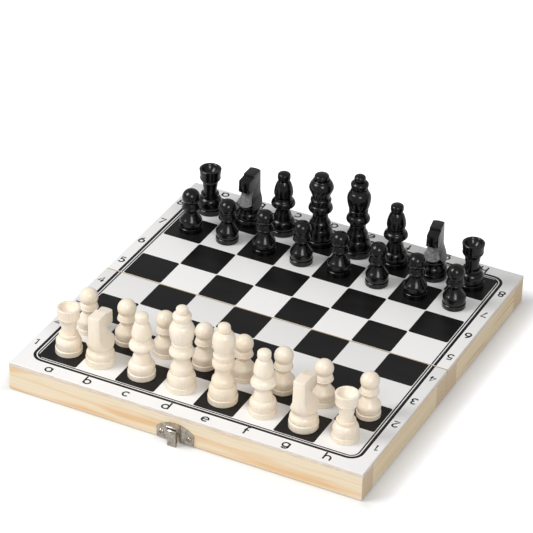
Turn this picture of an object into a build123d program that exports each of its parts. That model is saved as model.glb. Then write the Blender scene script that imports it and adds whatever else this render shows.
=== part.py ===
from build123d import *

# A folding wooden chess board, open and set up with its thirty-two men.
#
# Each half is a shallow box: a thin playing panel on four rails, with the tray for the men
# underneath. Two butt hinges let into the inner rails carry the fold, and a duckbill latch on
# the white side's front rail closes over a lip on the black side's back rail.
#
# Sizes are in millimetres. X runs from the a file to the h file, Y from white to black and Z up.
# The origin is at the middle of the seam, on the plane of the rims that the open board stands on.

import os
from collections import namedtuple
from math import cos, radians, sin, sqrt

os.makedirs("parts", exist_ok=True)

# Playing field and boxes
square = 27.0
files = 8
ranks_per_half = 4
side_margin = 12.0
end_margin = 14.0
seam = 0.3
panel_thick = 3.0
rail_high = 16.2
rail_wide = 15.0
edge_ease = 0.5
rim_ease = 0.3

# Hinges let into the rims of the inner rails
hinge_offset = 72.0
leaf_long = 22.0
leaf_wide = 9.0
leaf_thick = 0.8
leaf_sink = 0.05
barrel_radius = 1.25
hinge_pin_radius = 0.6
running_fit = 0.05
knuckle_gap = 0.3
barrel_room = 0.35
mortise_room = 0.1
hinge_screw_spread = 14.0
hinge_screw_head = 1.6
hinge_screw_shank = 0.9
hinge_screw_long = 8.0
screw_fit = 0.05
pilot_room = 0.3

# Latch plate and its hood on the front rail
latch_x = -3.9
plate_wide = 25.0
plate_thick = 0.8
plate_foot = 0.3
plate_shoulder = 8.0
plate_crown = 12.9
hood_wide = 8.0
hood_sheet = 0.8
hood_top = 12.7
hood_reach = 4.9
cheek_reach = 2.4
cheek_high = 7.7
cheek_foot = 1.0
latch_pin_radius = 0.6
latch_pin_out = 2.6
latch_pin_high = 9.0

# Latch tongue, which hangs from the pin
tongue_wide = 5.6
tongue_sheet = 0.8
tongue_out = 5.6
tongue_drop = 0.8
tongue_bend = 2.0
tongue_bend_rise = 1.6
eye_radius = 1.3
flange_thick = 0.7
flange_deep = 2.6
flange_foot = 1.2
beak_reach = 2.2
beak_thick = 0.6

# Catch on the back rail
catch_high = 8.0
lip_wide = 3.8
lip_reach = 2.6
lip_drop = 0.8
lip_thick = 0.6

# Pan-head screws of the latch and the catch
pan_spread = 19.0
pan_high = 4.3
pan_radius = 1.9
pan_rise = 1.0
pan_shank = 0.95
pan_long = 9.0
screw_point = 1.2

# How far each man stands from the middle of its square, as set down by hand
set_down = {
    "white_pawn_h": (2.8, 1.3),
    "white_rook_a": (0.8, 0.6),
    "white_rook_h": (0.7, 0.4),
    "white_knight_b": (-3.3, -0.2),
    "white_knight_g": (0.7, -0.7),
    "white_bishop_c": (-1.5, -0.5),
    "white_king": (-1.1, -0.4),
    "black_knight_b": (2.0, 0.0),
    "black_knight_g": (0.9, -1.2),
}

# A turner's pattern: each cut goes up by rise to a new radius, and swell bows it outwards
Cut = namedtuple("Cut", "rise radius swell", defaults=(0.0,))
rim_cut = 0.3

pawn_foot = 7.5
pawn_head = 6.1
pawn_cuts = [
    Cut(3.4, pawn_foot),
    Cut(rim_cut, pawn_foot - rim_cut),
    Cut(0.0, 6.9),
    Cut(3.7, 6.9, 0.5),
    Cut(6.9, 4.0, -0.9),
    Cut(1.7, 4.3),
    Cut(5.0, 4.6, 1.2),
]

rook_foot = 8.7
rook_cup_radius = 7.5
rook_hollow_radius = 5.2
rook_hollow_deep = 3.5
rook_cuts = [
    Cut(3.4, rook_foot),
    Cut(rim_cut, rook_foot - rim_cut),
    Cut(0.0, 8.1),
    Cut(6.0, 7.8, 0.35),
    Cut(5.0, 5.9, -0.5),
    Cut(0.6, 5.9),
    Cut(0.0, 4.7),
    Cut(5.0, 4.8, -0.25),
    Cut(0.0, 5.3),
    Cut(1.2, 5.6, 0.1),
    Cut(4.6, 7.3, 0.8),
    Cut(0.3, 7.1),
    Cut(0.3, rook_cup_radius),
    Cut(5.0, rook_cup_radius),
    Cut(rim_cut, rook_cup_radius - rim_cut),
]

bishop_foot = 8.8
bishop_knob = 4.2
bishop_cuts = [
    Cut(3.8, bishop_foot),
    Cut(rim_cut, bishop_foot - rim_cut),
    Cut(0.0, 7.8),
    Cut(4.6, 7.6, 0.5),
    Cut(5.6, 5.4, -0.7),
    Cut(0.0, 5.8),
    Cut(1.0, 5.8),
    Cut(0.0, 5.1),
    Cut(2.2, 4.8, -0.1),
    Cut(3.3, 7.6, -0.7),
    Cut(2.4, 7.6, 0.5),
    Cut(3.3, 5.8, 0.3),
    Cut(11.7, 3.7, 1.7),
    Cut(0.0, 3.1),
]

queen_foot = 9.3
queen_knob = 4.1
queen_cuts = [
    Cut(4.1, queen_foot),
    Cut(rim_cut, queen_foot - rim_cut),
    Cut(0.0, 8.6),
    Cut(4.4, 8.5, 0.4),
    Cut(8.3, 5.8, -0.9),
    Cut(0.0, 6.2),
    Cut(1.0, 6.2),
    Cut(0.0, 5.5),
    Cut(2.9, 5.2, -0.1),
    Cut(4.2, 7.3, -0.7),
    Cut(3.2, 7.2, 0.65),
    Cut(3.0, 5.9, -0.3),
    Cut(2.4, 6.1, 0.95),
    Cut(2.0, 6.2, -0.15),
    Cut(11.8, 6.5, 1.45),
    Cut(0.0, 3.4),
]

king_foot = 9.5
king_knob = 3.9
king_cuts = [
    Cut(4.3, king_foot),
    Cut(rim_cut, king_foot - rim_cut),
    Cut(0.0, 8.8),
    Cut(4.4, 8.6, 0.4),
    Cut(8.2, 6.1, -0.9),
    Cut(0.0, 6.5),
    Cut(1.0, 6.5),
    Cut(0.0, 5.7),
    Cut(3.2, 5.2, -0.1),
    Cut(3.8, 7.1, -0.7),
    Cut(3.1, 7.0, 0.65),
    Cut(3.0, 5.7, -0.3),
    Cut(3.2, 5.9, 0.8),
    Cut(8.4, 8.0, 0.6),
    Cut(7.0, 5.3, 1.2),
    Cut(0.0, 4.8),
    Cut(4.0, 4.6, 1.2),
    Cut(0.0, 3.0),
]

# The knight is turned as a blank, then sawn flat on both cheeks, the muzzle and the chest
knight_foot = 9.1
knight_high = 38.2
knight_crown_radius = 9.0
knight_cuts = [
    Cut(4.3, knight_foot),
    Cut(rim_cut, knight_foot - rim_cut),
    Cut(0.0, 8.3),
    Cut(3.8, 8.1, 0.4),
    Cut(2.8, 7.2, -0.3),
    Cut(6.2, 9.4, 0.5),
]
cheek_half_top = 3.3
cheek_half_low = 4.4
cheek_low = 24.0
cheek_runout = 14.5
cheek_bow = 0.9
ear_front = 0.5
ear_step = 1.3
brow_front = 6.8
brow_high = 34.6
muzzle_front = 8.5
muzzle_top = 33.0
muzzle_low = 25.6
throat_out = 2.3
throat_high = 23.9
chest_out = 6.8
chest_foot = 12.5
black_g_turn = 10.0

board_wide = files * square + 2 * side_margin
half_deep = ranks_per_half * square + end_margin
half_seam = seam / 2
board_top = rail_high + panel_thick
mortise_deep = leaf_sink + leaf_thick
pin_bore_radius = hinge_pin_radius + running_fit


def finish(piece, label):
    """Labels a finished piece and writes its STEP file."""
    piece.label = label
    export_step(piece, f"parts/{label}.step")


def block_sketch(low_x, high_x, low_y, high_y):
    """Draws a rectangle between two corners in the open sketch."""
    with Locations(((low_x + high_x) / 2, (low_y + high_y) / 2)):
        Rectangle(high_x - low_x, high_y - low_y)


# Panels


def make_panel(side, label):
    """Makes one half's playing panel, whose four top edges are eased."""
    near, far = sorted((side * half_seam, side * half_deep))
    with BuildPart() as panel:
        with BuildSketch(Plane.XY.offset(rail_high)):
            block_sketch(-board_wide / 2, board_wide / 2, near, far)
        extrude(amount=panel_thick)
        fillet(panel.faces().sort_by(Axis.Z)[-1].edges(), edge_ease)
    finish(panel.part, label)


# Rails


def make_outer_rail(side, label):
    """Makes the full-width rail that carries the latch or the catch, with its screw holes."""
    near, far = sorted((side * half_deep, side * (half_deep - rail_wide)))
    with BuildPart() as rail:
        with BuildSketch(Plane.XY):
            block_sketch(-board_wide / 2, board_wide / 2, near, far)
        extrude(amount=rail_high)
        wall = rail.faces().sort_by(Axis.Y)[0 if side < 0 else -1]
        fillet(wall.edges().filter_by(Axis.Z), edge_ease)
        for x in pan_places:
            with BuildSketch(wall_plane(side, x, pan_high)):
                Circle(pan_shank + screw_fit)
            extrude(amount=-(pan_long + pilot_room), mode=Mode.SUBTRACT)
    finish(rail.part, label)


def make_inner_rail(side, label):
    """Makes the rail beside the seam, with a mortise, a barrel trench and holes at each hinge."""
    near, far = sorted((side * half_seam, side * (half_seam + rail_wide)))
    mortise_half = leaf_long / 2 + mortise_room
    with BuildPart() as rail:
        with BuildSketch(Plane.XY):
            block_sketch(-board_wide / 2, board_wide / 2, near, far)
        extrude(amount=rail_high)
        for x in hinge_places:
            edge = side * (leaf_wide + mortise_room)
            with BuildSketch(Plane.XY):
                block_sketch(x - mortise_half, x + mortise_half, min(0, edge), max(0, edge))
            extrude(amount=mortise_deep, mode=Mode.SUBTRACT)
            with BuildSketch(Plane.YZ.offset(x - mortise_half)):
                Circle(barrel_radius + barrel_room)
            extrude(amount=2 * mortise_half, mode=Mode.SUBTRACT)
        for x, y in hinge_screw_places(side):
            with BuildSketch(Plane.XY):
                with Locations((x, y)):
                    Circle(hinge_screw_shank + screw_fit)
            extrude(amount=hinge_screw_long + leaf_sink + pilot_room, mode=Mode.SUBTRACT)
    finish(rail.part, label)


def make_side_rail(across, side, label):
    """Makes a short rail that butts between the outer and the inner rail."""
    near, far = sorted((side * (half_seam + rail_wide), side * (half_deep - rail_wide)))
    low, high = sorted((across * board_wide / 2, across * (board_wide / 2 - rail_wide)))
    with BuildPart() as rail:
        with BuildSketch(Plane.XY):
            block_sketch(low, high, near, far)
        extrude(amount=rail_high)
        outer = rail.faces().sort_by(Axis.X)[0 if across < 0 else -1]
        fillet(outer.edges().sort_by(Axis.Z)[0], rim_ease)
    finish(rail.part, label)


# Hinges


def hinge_screw_places(side):
    """Gives the screw places of both leaves on one half."""
    middle = side * (leaf_wide + barrel_radius + barrel_room) / 2
    return [
        (x + step * hinge_screw_spread / 2, middle)
        for x in hinge_places
        for step in (-1, 1)
    ]


def make_leaf(x, side, label):
    """Makes one hinge leaf: the front leaf has the two outer knuckles, the back one the middle."""
    knuckle_long = (leaf_long - 2 * knuckle_gap) / 3
    pitch = knuckle_long + knuckle_gap
    turns = (-1, 1) if side < 0 else (0,)
    root = side * (barrel_radius + barrel_room)
    edge = side * leaf_wide
    with BuildPart() as leaf:
        with BuildSketch(Plane.XY.offset(leaf_sink)):
            block_sketch(
                x - leaf_long / 2, x + leaf_long / 2, min(root, edge), max(root, edge)
            )
        extrude(amount=leaf_thick)
        for turn in turns:
            start = x + turn * pitch - knuckle_long / 2
            with BuildSketch(Plane.YZ.offset(start)):
                Circle(barrel_radius)
                block_sketch(min(0, root), max(0, root), leaf_sink, mortise_deep)
                Circle(pin_bore_radius, mode=Mode.SUBTRACT)
            extrude(amount=knuckle_long)
        for screw_x, y in hinge_screw_places(side):
            if abs(screw_x - x) < leaf_long / 2:
                under = Plane((screw_x, y, leaf_sink), x_dir=(1, 0, 0), z_dir=(0, 0, -1))
                with Locations(under):
                    CounterSinkHole(
                        hinge_screw_shank + screw_fit,
                        hinge_screw_head + screw_fit,
                        depth=leaf_thick,
                        counter_sink_angle=90,
                    )
    finish(leaf.part, label)


def make_hinge_pin(x, label):
    """Makes the pin that runs through a hinge's three knuckles."""
    with BuildPart() as pin:
        with BuildSketch(Plane.YZ.offset(x - leaf_long / 2)):
            Circle(hinge_pin_radius)
        extrude(amount=leaf_long)
    finish(pin.part, label)


def make_hinge_screws(side, label):
    """Makes the countersunk screws of one half's two leaves."""
    neck = hinge_screw_head - hinge_screw_shank
    with BuildPart() as screws:
        for x, y in hinge_screw_places(side):
            with BuildSketch(Plane((x, y, leaf_sink), x_dir=(1, 0, 0), z_dir=(0, -1, 0))):
                with BuildLine():
                    Polyline(
                        (0, 0),
                        (hinge_screw_head, 0),
                        (hinge_screw_shank, neck),
                        (hinge_screw_shank, hinge_screw_long - screw_point),
                        (0, hinge_screw_long),
                        close=True,
                    )
                make_face()
            revolve(axis=Axis((x, y, 0), (0, 0, 1)))
    finish(screws.part, label)


# Latch and catch


def wall_plane(side, x, z):
    """Gives the plane on an outer rail's wall that faces away from the board."""
    return Plane((x, side * half_deep, z), x_dir=(-side, 0, 0), z_dir=(0, side, 0))


def side_plane(side, x):
    """Gives an upright plane across the wall: local x runs out from it and local y up."""
    return Plane((x, side * half_deep, 0), x_dir=(0, side, 0), z_dir=(side, 0, 0))


def make_latch_plate(label):
    """Makes the arched plate with the hood that carries the latch pin between two cheeks."""
    half = plate_wide / 2
    inner_half = hood_wide / 2 - hood_sheet
    with BuildPart() as plate:
        with BuildSketch(wall_plane(-1, latch_x, 0)):
            with BuildLine():
                Polyline(
                    (-half, plate_shoulder),
                    (-half, plate_foot),
                    (half, plate_foot),
                    (half, plate_shoulder),
                )
                ThreePointArc((half, plate_shoulder), (0, plate_crown), (-half, plate_shoulder))
            make_face()
        extrude(amount=plate_thick)
        with BuildSketch(side_plane(-1, latch_x)):
            with BuildLine():
                Polyline(
                    (0, cheek_foot),
                    (plate_thick, cheek_foot),
                    (cheek_reach, cheek_high),
                    (hood_reach, hood_top - hood_sheet - tongue_bend / 2),
                    (hood_reach, hood_top - hood_sheet),
                )
                RadiusArc(
                    (hood_reach, hood_top - hood_sheet),
                    (hood_reach - hood_sheet, hood_top),
                    -hood_sheet,
                )
                Polyline((hood_reach - hood_sheet, hood_top), (0, hood_top), (0, cheek_foot))
            make_face()
        extrude(amount=hood_wide / 2, both=True)
        with BuildSketch(side_plane(-1, latch_x)):
            block_sketch(0, hood_reach + hood_sheet, 0, hood_top - hood_sheet)
        extrude(amount=inner_half, both=True, mode=Mode.SUBTRACT)
        with BuildSketch(side_plane(-1, latch_x)):
            with Locations((latch_pin_out, latch_pin_high)):
                Circle(latch_pin_radius)
        extrude(amount=hood_wide, both=True, mode=Mode.SUBTRACT)
        for x in pan_places:
            with BuildSketch(wall_plane(-1, x, pan_high)):
                Circle(pan_shank + screw_fit)
            extrude(amount=plate_thick, mode=Mode.SUBTRACT)
    finish(plate.part, label)


def make_latch_pin(label):
    """Makes the pin that is held in the hood's cheeks."""
    with BuildPart() as pin:
        with BuildSketch(side_plane(-1, latch_x)):
            with Locations((latch_pin_out, latch_pin_high)):
                Circle(latch_pin_radius)
        extrude(amount=hood_wide / 2, both=True)
    finish(pin.part, label)


def tongue_edge():
    """Draws the tongue's side: an eye on the pin, a bend over it and the web down to the beak."""
    top = latch_pin_high + tongue_bend_rise
    bend_low = top - tongue_bend
    inner_bend = tongue_bend - tongue_sheet
    inner_out = tongue_out - tongue_sheet
    Line((tongue_out - tongue_bend, top), (latch_pin_out, top))
    Line((latch_pin_out, top), (latch_pin_out, top - tongue_sheet))
    Line((latch_pin_out, top - tongue_sheet), (tongue_out - tongue_bend, top - tongue_sheet))
    RadiusArc((tongue_out - tongue_bend, top - tongue_sheet), (inner_out, bend_low), inner_bend)
    Polyline(
        (inner_out, bend_low),
        (inner_out, beak_thick - tongue_drop),
        (tongue_out - beak_reach, beak_thick - tongue_drop),
        (tongue_out - beak_reach, -tongue_drop),
        (tongue_out - beak_thick, -tongue_drop),
    )
    RadiusArc(
        (tongue_out - beak_thick, -tongue_drop),
        (tongue_out, beak_thick - tongue_drop),
        -beak_thick,
    )
    Line((tongue_out, beak_thick - tongue_drop), (tongue_out, bend_low))
    RadiusArc((tongue_out, bend_low), (tongue_out - tongue_bend, top), -tongue_bend)


def make_tongue(label):
    """Makes the hanging tongue, a bent strip with two flanges and a beak that hooks the lip."""
    half = tongue_wide / 2
    bend_low = latch_pin_high + tongue_bend_rise - tongue_bend
    with BuildPart() as tongue:
        with BuildSketch(side_plane(-1, latch_x)):
            with BuildLine():
                tongue_edge()
            make_face()
        extrude(amount=half, both=True)
        with BuildSketch(side_plane(-1, latch_x)):
            with BuildLine():
                Polyline(
                    (tongue_out - tongue_sheet, beak_thick - tongue_drop),
                    (tongue_out - flange_deep, flange_foot),
                    (tongue_out - flange_deep, bend_low),
                    (tongue_out - tongue_sheet, bend_low),
                    close=True,
                )
            make_face()
        extrude(amount=half, both=True)
        with BuildSketch(side_plane(-1, latch_x)):
            block_sketch(
                tongue_out - flange_deep,
                tongue_out - tongue_sheet,
                beak_thick - tongue_drop,
                bend_low,
            )
        extrude(amount=half - flange_thick, both=True, mode=Mode.SUBTRACT)
        with BuildSketch(side_plane(-1, latch_x)):
            with Locations((latch_pin_out, latch_pin_high)):
                Circle(eye_radius)
        extrude(amount=half, both=True)
        with BuildSketch(side_plane(-1, latch_x)):
            with Locations((latch_pin_out, latch_pin_high)):
                Circle(latch_pin_radius + running_fit)
        extrude(amount=half, both=True, mode=Mode.SUBTRACT)
    finish(tongue.part, label)


def make_catch(label):
    """Makes the catch plate, whose lip stands past the rim and out from the wall."""
    half = plate_wide / 2
    with BuildPart() as catch:
        with BuildSketch(wall_plane(1, latch_x, 0)):
            block_sketch(-half, half, plate_foot, catch_high)
            block_sketch(-lip_wide / 2, lip_wide / 2, -lip_drop, plate_foot)
        extrude(amount=plate_thick)
        with BuildSketch(side_plane(1, latch_x)):
            block_sketch(0, lip_reach, -lip_drop, lip_thick - lip_drop)
        extrude(amount=lip_wide / 2, both=True)
        for x in pan_places:
            with BuildSketch(wall_plane(1, x, pan_high)):
                Circle(pan_shank + screw_fit)
            extrude(amount=plate_thick, mode=Mode.SUBTRACT)
    finish(catch.part, label)


def make_pan_screws(side, label):
    """Makes the two pan-head screws of the latch plate or the catch."""
    with BuildPart() as screws:
        for x in pan_places:
            with BuildSketch(side_plane(side, x)):
                with BuildLine():
                    Polyline(
                        (plate_thick, pan_high + pan_radius),
                        (plate_thick, pan_high + pan_shank),
                        (screw_point - pan_long, pan_high + pan_shank),
                        (-pan_long, pan_high),
                        (plate_thick + pan_rise, pan_high),
                    )
                    SagittaArc(
                        (plate_thick + pan_rise, pan_high),
                        (plate_thick, pan_high + pan_radius),
                        -pan_rise / 3,
                    )
                make_face()
            revolve(axis=Axis((x, side * half_deep, pan_high), (0, 1, 0)))
    finish(screws.part, label)


# Chess men


def stand_plane(label, file, rank):
    """Gives the plane under a man, with its way forward from the front of the board."""
    over, along = set_down.get(label, (0, 0))
    x = (file - (files - 1) / 2) * square + over
    y = (rank - ranks_per_half + 0.5) * square + along
    return x, y


def turned_edge(foot, cuts):
    """Draws a turned outline from the axis at the foot to the last cut, and gives its end."""
    low = (foot - rim_cut, 0)
    Line((0, 0), low)
    here = (foot, rim_cut)
    Line(low, here)
    for cut in cuts:
        there = (cut.radius, here[1] + cut.rise)
        if cut.swell:
            across = there[0] - here[0]
            up = there[1] - here[1]
            chord = sqrt(across**2 + up**2)
            bow = (
                (here[0] + there[0]) / 2 + cut.swell * up / chord,
                (here[1] + there[1]) / 2 - cut.swell * across / chord,
            )
            ThreePointArc(here, bow, there)
        else:
            Line(here, there)
        here = there
    return here


def close_with_ball(here, radius):
    """Ends a turned outline with a ball that sits on the last cut."""
    centre = here[1] + sqrt(radius**2 - here[0] ** 2)
    crown = (0, centre + radius)
    ThreePointArc(here, (radius, centre), crown)
    Line(crown, (0, 0))


def close_with_hollow(here):
    """Ends a rook's outline with the shallow hollow of its cup."""
    floor = here[1] - rook_hollow_deep
    Polyline(
        here,
        (rook_hollow_radius, here[1]),
        (rook_hollow_radius, floor),
        (0, floor),
        (0, 0),
    )


def make_turned_man(label, place, foot, cuts, ball=None):
    """Turns one man on its square, with a ball on top or, without one, a rook's hollow."""
    x, y = place
    with BuildPart() as man:
        with BuildSketch(Plane((x, y, board_top), x_dir=(1, 0, 0), z_dir=(0, -1, 0))):
            with BuildLine():
                end = turned_edge(foot, cuts)
                if ball:
                    close_with_ball(end, ball)
                else:
                    close_with_hollow(end)
            make_face()
        revolve(axis=Axis((x, y, 0), (0, 0, 1)))
    finish(man.part, label)


def make_knight(label, place, facing):
    """Turns a knight's blank and saws its cheeks, brow, throat and chest."""
    x, y = place
    ahead = (cos(radians(facing)), sin(radians(facing)), 0)
    aside = (-ahead[1], ahead[0], 0)
    behind = (-ahead[0], -ahead[1], 0)
    saw = 2 * knight_foot
    with BuildPart() as knight:
        with BuildSketch(Plane((x, y, board_top), x_dir=(1, 0, 0), z_dir=(0, -1, 0))):
            with BuildLine():
                end = turned_edge(knight_foot, knight_cuts)
                Polyline(end, (knight_crown_radius, knight_high), (0, knight_high), (0, 0))
            make_face()
        revolve(axis=Axis((x, y, 0), (0, 0, 1)))
        for way in (-1, 1):
            with BuildSketch(Plane((x, y, board_top), x_dir=aside, z_dir=ahead)):
                with BuildLine():
                    Polyline(
                        (way * cheek_half_low, cheek_low),
                        (way * cheek_half_top, knight_high),
                        (way * saw, knight_high),
                        (way * saw, cheek_runout),
                        (way * (knight_foot + edge_ease), cheek_runout),
                    )
                    SagittaArc(
                        (way * (knight_foot + edge_ease), cheek_runout),
                        (way * cheek_half_low, cheek_low),
                        way * cheek_bow,
                    )
                make_face()
            extrude(amount=saw, both=True, mode=Mode.SUBTRACT)
        with BuildSketch(Plane((x, y, board_top), x_dir=ahead, z_dir=(aside[0] * -1, aside[1] * -1, 0))):
            with BuildLine():
                Polyline(
                    (ear_front, knight_high),
                    (ear_front, knight_high - ear_step),
                    (brow_front, brow_high),
                    (muzzle_front, muzzle_top),
                    (saw, muzzle_top),
                    (saw, knight_high),
                    close=True,
                )
            make_face()
            with BuildLine():
                Polyline(
                    (muzzle_front, muzzle_top),
                    (muzzle_front, muzzle_low),
                    (throat_out, throat_high),
                    (chest_out, chest_foot),
                    (saw, chest_foot),
                    (saw, muzzle_top),
                    close=True,
                )
            make_face()
        extrude(amount=saw, both=True, mode=Mode.SUBTRACT)
    finish(knight.part, label)


def make_men(colour, pawn_rank, home_rank, facing):
    """Makes one side's sixteen men."""
    letters = "abcdefgh"
    for file in range(files):
        label = f"{colour}_pawn_{letters[file]}"
        make_turned_man(label, stand_plane(label, file, pawn_rank), pawn_foot, pawn_cuts, pawn_head)
    for file in (0, files - 1):
        label = f"{colour}_rook_{letters[file]}"
        make_turned_man(label, stand_plane(label, file, home_rank), rook_foot, rook_cuts)
    for file in (1, files - 2):
        label = f"{colour}_knight_{letters[file]}"
        turn = black_g_turn if label == "black_knight_g" else 0
        make_knight(label, stand_plane(label, file, home_rank), facing + turn)
    for file in (2, files - 3):
        label = f"{colour}_bishop_{letters[file]}"
        make_turned_man(
            label, stand_plane(label, file, home_rank), bishop_foot, bishop_cuts, bishop_knob
        )
    king_file = 3 if colour == "white" else 4
    label = f"{colour}_king"
    make_turned_man(label, stand_plane(label, king_file, home_rank), king_foot, king_cuts, king_knob)
    label = f"{colour}_queen"
    queen_file = files - 1 - king_file
    make_turned_man(
        label, stand_plane(label, queen_file, home_rank), queen_foot, queen_cuts, queen_knob
    )


hinge_places = (-hinge_offset, hinge_offset)
pan_places = (latch_x - pan_spread / 2, latch_x + pan_spread / 2)

for half, half_side in (("front", -1), ("back", 1)):
    make_panel(half_side, f"{half}_panel")
    make_outer_rail(half_side, f"{half}_rail")
    make_inner_rail(half_side, f"{half}_mid_rail")
    make_side_rail(-1, half_side, f"{half}_left_rail")
    make_side_rail(1, half_side, f"{half}_right_rail")
    make_leaf(-hinge_offset, half_side, f"left_hinge_{half}_leaf")
    make_leaf(hinge_offset, half_side, f"right_hinge_{half}_leaf")
    make_hinge_screws(half_side, f"{half}_hinge_screws")

make_hinge_pin(-hinge_offset, "left_hinge_pin")
make_hinge_pin(hinge_offset, "right_hinge_pin")
make_latch_plate("clasp_plate")
make_latch_pin("clasp_pin")
make_tongue("clasp_tongue")
make_pan_screws(-1, "clasp_screws")
make_catch("catch_plate")
make_pan_screws(1, "catch_screws")

make_men("white", 1, 0, 90)
make_men("black", 6, 7, -90)
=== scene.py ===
import logging
from dataclasses import dataclass
from enum import Enum
from math import atan2, cos, pi, radians, sin, sqrt
from typing import Iterable, Optional, Sequence, Union

import bmesh
import bpy
from mathutils import Matrix, Vector


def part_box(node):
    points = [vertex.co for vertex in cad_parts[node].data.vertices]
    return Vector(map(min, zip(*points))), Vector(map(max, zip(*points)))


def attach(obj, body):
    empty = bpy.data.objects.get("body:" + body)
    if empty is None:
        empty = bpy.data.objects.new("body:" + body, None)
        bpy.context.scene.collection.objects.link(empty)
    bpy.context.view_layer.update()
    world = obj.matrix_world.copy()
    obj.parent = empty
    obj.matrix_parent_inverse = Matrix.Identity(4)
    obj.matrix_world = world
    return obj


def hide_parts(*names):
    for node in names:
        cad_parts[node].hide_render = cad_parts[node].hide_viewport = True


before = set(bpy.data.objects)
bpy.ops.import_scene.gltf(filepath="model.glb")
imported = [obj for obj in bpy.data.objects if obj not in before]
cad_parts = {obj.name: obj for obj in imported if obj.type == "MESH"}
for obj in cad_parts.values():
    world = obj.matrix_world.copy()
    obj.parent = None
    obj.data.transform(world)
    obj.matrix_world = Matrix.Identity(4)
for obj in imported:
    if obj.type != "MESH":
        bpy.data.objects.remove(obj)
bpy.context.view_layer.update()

LOG = logging.getLogger("chess_board")
MM = 0.001
Triple = tuple[float, float, float]
Outline = tuple[tuple[float, float], ...]
Colour = tuple[float, float, float, float]
Socket = bpy.types.NodeSocket
Vert = bmesh.types.BMVert
NOISE = {"Scale": 1.0, "Detail": 3.0, "Roughness": 0.55}


def hex_colour(code: str) -> Colour:
    """Turns an sRGB hex colour into linear values.

    Args:
        code: Six hex digits, with or without a leading hash.

    Returns:
        Linear red, green, blue and an alpha of 1.
    """
    digits = code.lstrip("#")
    linear = []
    for place in (0, 2, 4):
        value = int(digits[place:place + 2], 16) / 255
        linear.append(value / 12.92 if value <= 0.04045 else ((value + 0.055) / 1.055) ** 2.4)
    return (*linear, 1.0)


def per(sizes_mm: Triple) -> Triple:
    """Gives the scale at which one unit of a pattern has these sizes."""
    return tuple(1 / size for size in sizes_mm)


def add_node(
    tree: bpy.types.NodeTree, kind: str, inputs: Union[dict, Sequence] = (), **settings: object
) -> bpy.types.Node:
    """Adds a shader node with its settings and its input values or links.

    Args:
        tree: The tree that takes the node.
        kind: Blender's name of the node type.
        inputs: Values or outputs to link from, in the sockets' order or by socket.
        settings: Attributes of the node.

    Returns:
        The new node.
    """
    node = tree.nodes.new(kind)
    for name, value in settings.items():
        setattr(node, name, value)
    given = inputs if isinstance(inputs, dict) else dict(enumerate(inputs))
    for socket, value in given.items():
        if isinstance(value, Socket):
            tree.links.new(value, node.inputs[socket])
        else:
            node.inputs[socket].default_value = value
    return node


class Surface:
    """A material under construction, whose pattern space is in millimetres."""

    def __init__(self, name: str, turn: Triple = (0, 0, 0)) -> None:
        """Starts the material with its pattern space.

        Args:
            name: The material's name.
            turn: Turns the pattern space, in radians about X, Y and Z.
        """
        self.material = bpy.data.materials.new(name)
        self.material.use_nodes = True
        self.tree = self.material.node_tree
        self.tree.nodes.clear()
        where = self.add("ShaderNodeTexCoord", output="Object")
        placing = {"Vector": where, "Scale": per((MM, MM, MM)), "Rotation": turn}
        self.space = self.add("ShaderNodeMapping", placing)

    def add(
        self,
        kind: str,
        inputs: Union[dict, Sequence] = (),
        output: Union[int, str] = 0,
        **settings: object,
    ) -> Socket:
        """Adds a node to this material through add_node.

        Args:
            kind: Blender's name of the node type.
            inputs: Values or outputs to link from, in the sockets' order or by socket.
            output: The number or name of the output that is wanted.
            settings: Attributes of the node.

        Returns:
            The wanted output.
        """
        return add_node(self.tree, kind, inputs, **settings).outputs[output]

    def shaded(self, inputs: dict) -> bpy.types.Material:
        """Ends the material with its shader.

        Args:
            inputs: The shader's sockets, each with a value or an output to link from.

        Returns:
            The finished material.
        """
        shader = self.add("ShaderNodeBsdfPrincipled", inputs)
        add_node(self.tree, "ShaderNodeOutputMaterial", {"Surface": shader})
        return self.material


class Grain(Enum):
    """The way that a board's grain runs, as the turn that brings it to the pattern's X."""

    ALONG_X = (0.0, 0.0, 0.0)
    ALONG_Y = (0.0, 0.0, pi / 2)


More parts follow.
